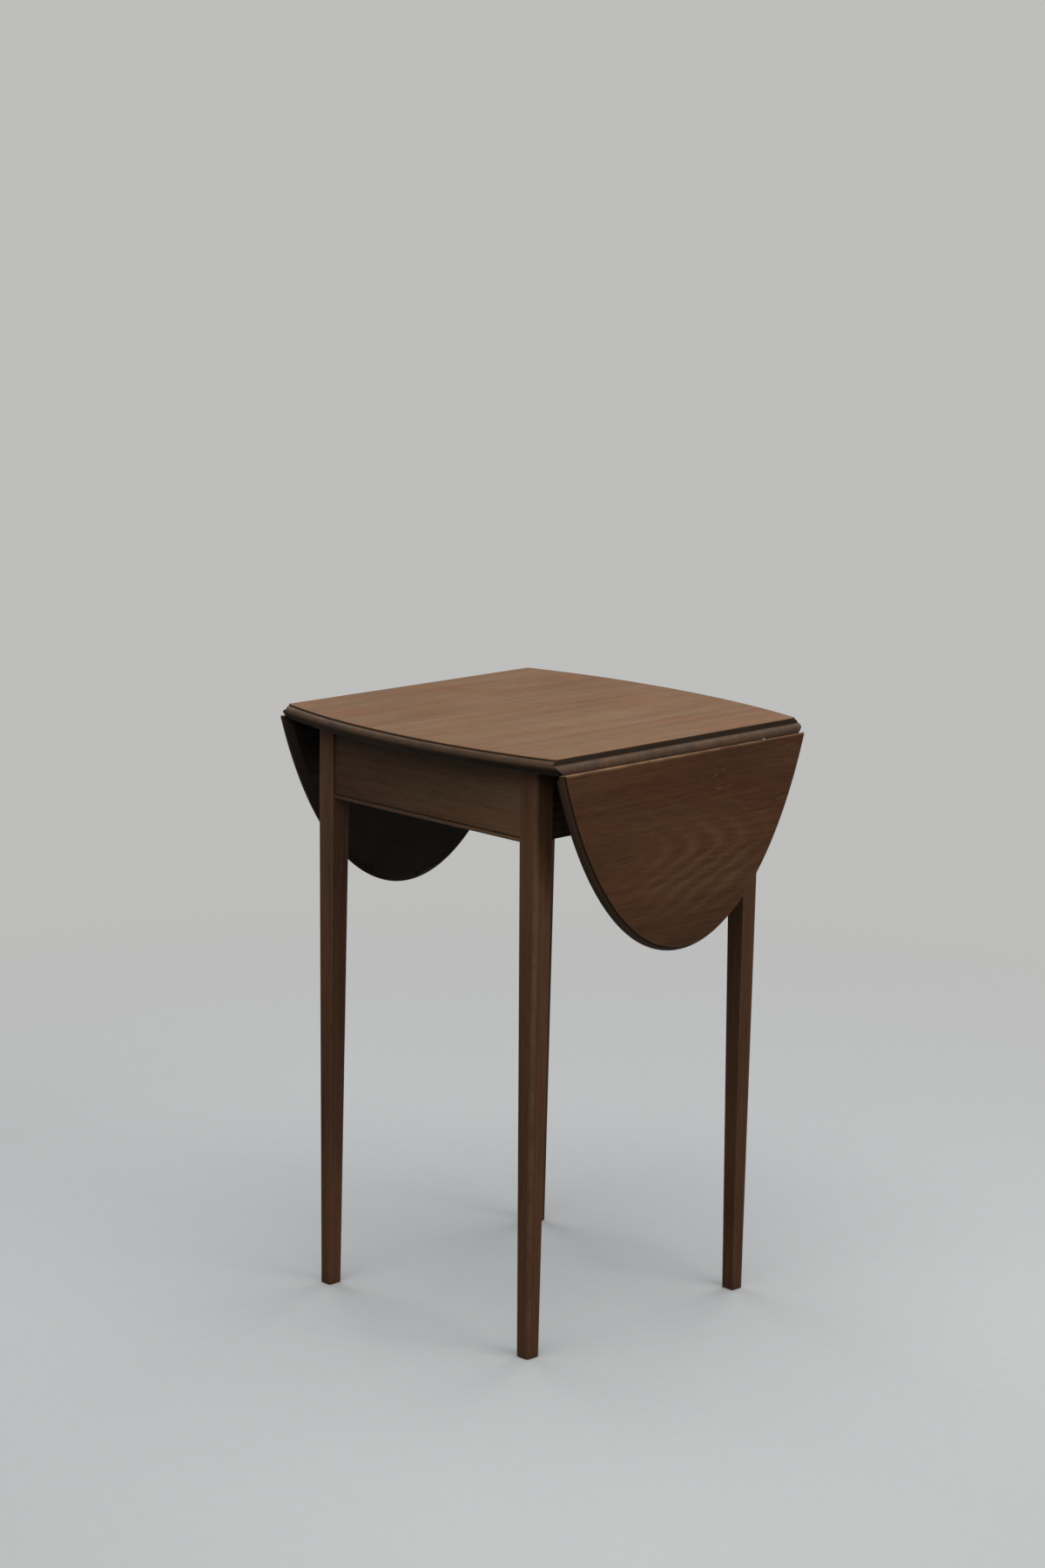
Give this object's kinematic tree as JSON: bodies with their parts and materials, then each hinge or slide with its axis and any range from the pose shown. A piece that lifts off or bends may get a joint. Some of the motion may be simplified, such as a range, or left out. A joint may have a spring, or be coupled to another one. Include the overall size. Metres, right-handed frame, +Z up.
{
  "type": "drop-leaf table",
  "caption": "Small wooden drop-leaf table with an oval top, hinged hanging leaves on rule joints, swinging leaf brackets and square tapered legs.",
  "frame": {"origin": "on the floor, under the middle of the top", "axes": "+Z up; the bowed ends of the top face -Y (front) and +Y (back); the leaves hang at -X and +X"},
  "size_m": [0.471, 0.462, 0.7],
  "materials": {
    "top_mahogany": "satin",
    "leaf_mahogany": "satin",
    "frame_mahogany": "satin",
    "inner_wood": "unfinished",
    "hinge_brass": "dull",
    "screw_steel": "dull"
  },
  "bodies": {
    "table_frame": {"centre_top": "top_mahogany", "front_left_leg": "frame_mahogany", "front_right_leg": "frame_mahogany", "back_left_leg": "frame_mahogany", "back_right_leg": "frame_mahogany", "front_rail": "frame_mahogany", "back_rail": "frame_mahogany", "left_rail": "inner_wood", "right_rail": "inner_wood", "front_bead": "frame_mahogany", "back_bead": "frame_mahogany", "left_fly_block": "frame_mahogany", "right_fly_block": "frame_mahogany", "left_fly_pin": "screw_steel", "right_fly_pin": "screw_steel", "front_left_glue_block": "inner_wood", "front_right_glue_block": "inner_wood", "back_left_glue_block": "inner_wood", "back_right_glue_block": "inner_wood", "front_left_top_screw": "screw_steel", "front_right_top_screw": "screw_steel", "back_left_top_screw": "screw_steel", "back_right_top_screw": "screw_steel", "front_left_hinge_plate": "hinge_brass", "front_right_hinge_plate": "hinge_brass", "back_left_hinge_plate": "hinge_brass", "back_right_hinge_plate": "hinge_brass", "front_left_hinge_pin": "screw_steel", "front_right_hinge_pin": "screw_steel", "back_left_hinge_pin": "screw_steel", "back_right_hinge_pin": "screw_steel", "front_left_plate_screw_a": "screw_steel", "front_left_plate_screw_b": "screw_steel", "front_right_plate_screw_a": "screw_steel", "front_right_plate_screw_b": "screw_steel", "back_left_plate_screw_a": "screw_steel", "back_left_plate_screw_b": "screw_steel", "back_right_plate_screw_a": "screw_steel", "back_right_plate_screw_b": "screw_steel"},
    "left_leaf_body": {"left_leaf": "leaf_mahogany", "front_left_hinge_flap": "hinge_brass", "back_left_hinge_flap": "hinge_brass", "front_left_flap_screw_a": "screw_steel", "front_left_flap_screw_b": "screw_steel", "back_left_flap_screw_a": "screw_steel", "back_left_flap_screw_b": "screw_steel"},
    "right_leaf_body": {"right_leaf": "leaf_mahogany", "front_right_hinge_flap": "hinge_brass", "back_right_hinge_flap": "hinge_brass", "front_right_flap_screw_a": "screw_steel", "front_right_flap_screw_b": "screw_steel", "back_right_flap_screw_a": "screw_steel", "back_right_flap_screw_b": "screw_steel"},
    "left_bracket_body": {"left_fly_bracket": "frame_mahogany"},
    "right_bracket_body": {"right_fly_bracket": "frame_mahogany"}
  },
  "joints": [
    {"name": "left_leaf_hinge", "type": "hinge", "parent": "table_frame", "child": "left_leaf_body", "pos_m": [-0.22, 0, 0.6845], "axis": [0, 1, 0], "range_deg": [0, 90]},
    {"name": "right_leaf_hinge", "type": "hinge", "parent": "table_frame", "child": "right_leaf_body", "pos_m": [0.22, 0, 0.6845], "axis": [0, -1, 0], "range_deg": [0, 90]},
    {"name": "left_bracket_hinge", "type": "hinge", "parent": "table_frame", "child": "left_bracket_body", "pos_m": [-0.172, -0.012, 0.6386], "axis": [0, 0, 1], "range_deg": [0, 17]},
    {"name": "right_bracket_hinge", "type": "hinge", "parent": "table_frame", "child": "right_bracket_body", "pos_m": [0.172, 0.012, 0.6386], "axis": [0, 0, 1], "range_deg": [0, 17]}
  ]
}
